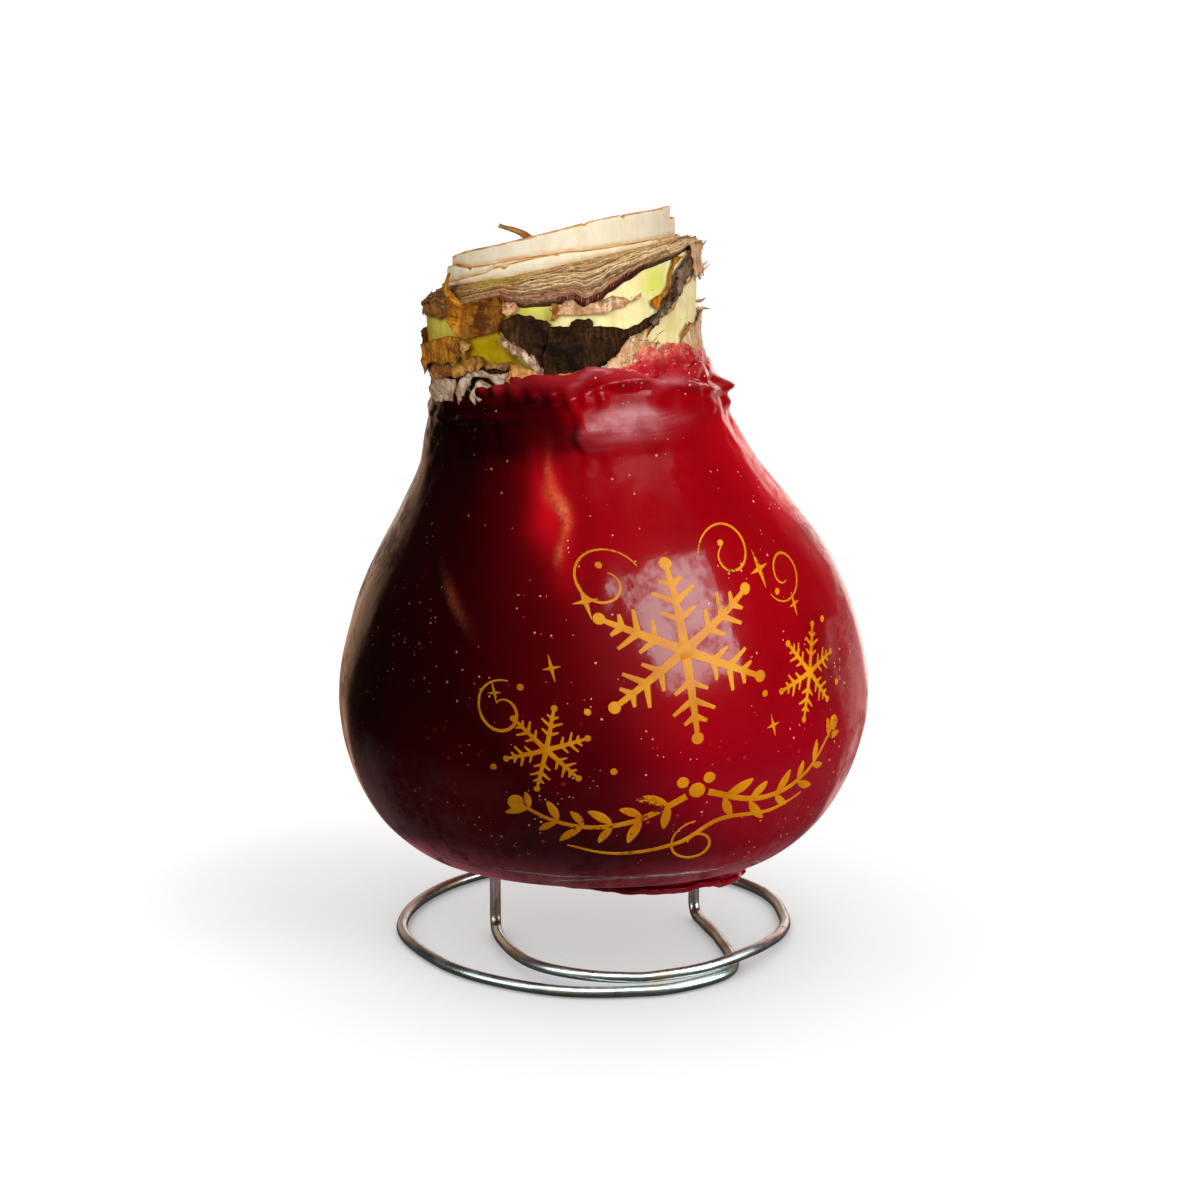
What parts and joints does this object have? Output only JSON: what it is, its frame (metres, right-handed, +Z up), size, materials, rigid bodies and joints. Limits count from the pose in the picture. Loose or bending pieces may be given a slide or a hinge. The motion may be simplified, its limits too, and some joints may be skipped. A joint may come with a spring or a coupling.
{
  "type": "waxed amaryllis bulb",
  "caption": "Amaryllis bulb in a glossy wax coat, with a slanting cut neck, torn dry tunic skins and a bent wire ring stand pushed into its base.",
  "frame": {"origin": "on the surface that the stand rests on, under the middle of the bulb's belly", "axes": "+Z up along the bulb, +X to the right and +Y to the back, seen from the bulb's front"},
  "size_m": [0.0954, 0.0953, 0.136],
  "materials": {
    "wire": "dull bright drawn wire",
    "wax": "glossy dipped wax",
    "living_scale": "fleshy, satin",
    "ivory_scale": "fleshy, satin",
    "dry_scale": "dry and papery",
    "tunic_dark": "dry and papery",
    "tunic_brown": "dry and papery",
    "tunic_tan": "dry and papery",
    "tunic_pale": "dry and papery"
  },
  "bodies": {
    "root": {"wire_stand": "wire", "wax_coat": "wax", "bulb": "living_scale", "inner_scales": "ivory_scale", "middle_scale": "ivory_scale", "outer_scale": "ivory_scale", "dry_scales": "dry_scale", "dried_leaf_tip": "dry_scale", "tunic_shred": "tunic_brown", "tunic_dark_front": "tunic_dark", "tunic_silver_front": "tunic_pale", "tunic_tan_front": "tunic_tan", "tunic_tan_middle": "tunic_tan", "tunic_brown_left": "tunic_brown", "tunic_brown_far_left": "tunic_brown", "tunic_tan_left": "tunic_tan", "tunic_white_left": "tunic_pale", "tunic_tan_curl": "tunic_tan", "tunic_tan_right_low": "tunic_tan", "tunic_tan_right_high": "tunic_tan", "tunic_brown_back_right": "tunic_brown", "tunic_dark_back": "tunic_dark", "tunic_tan_back": "tunic_tan", "tunic_brown_back_left": "tunic_brown"}
  },
  "joints": []
}
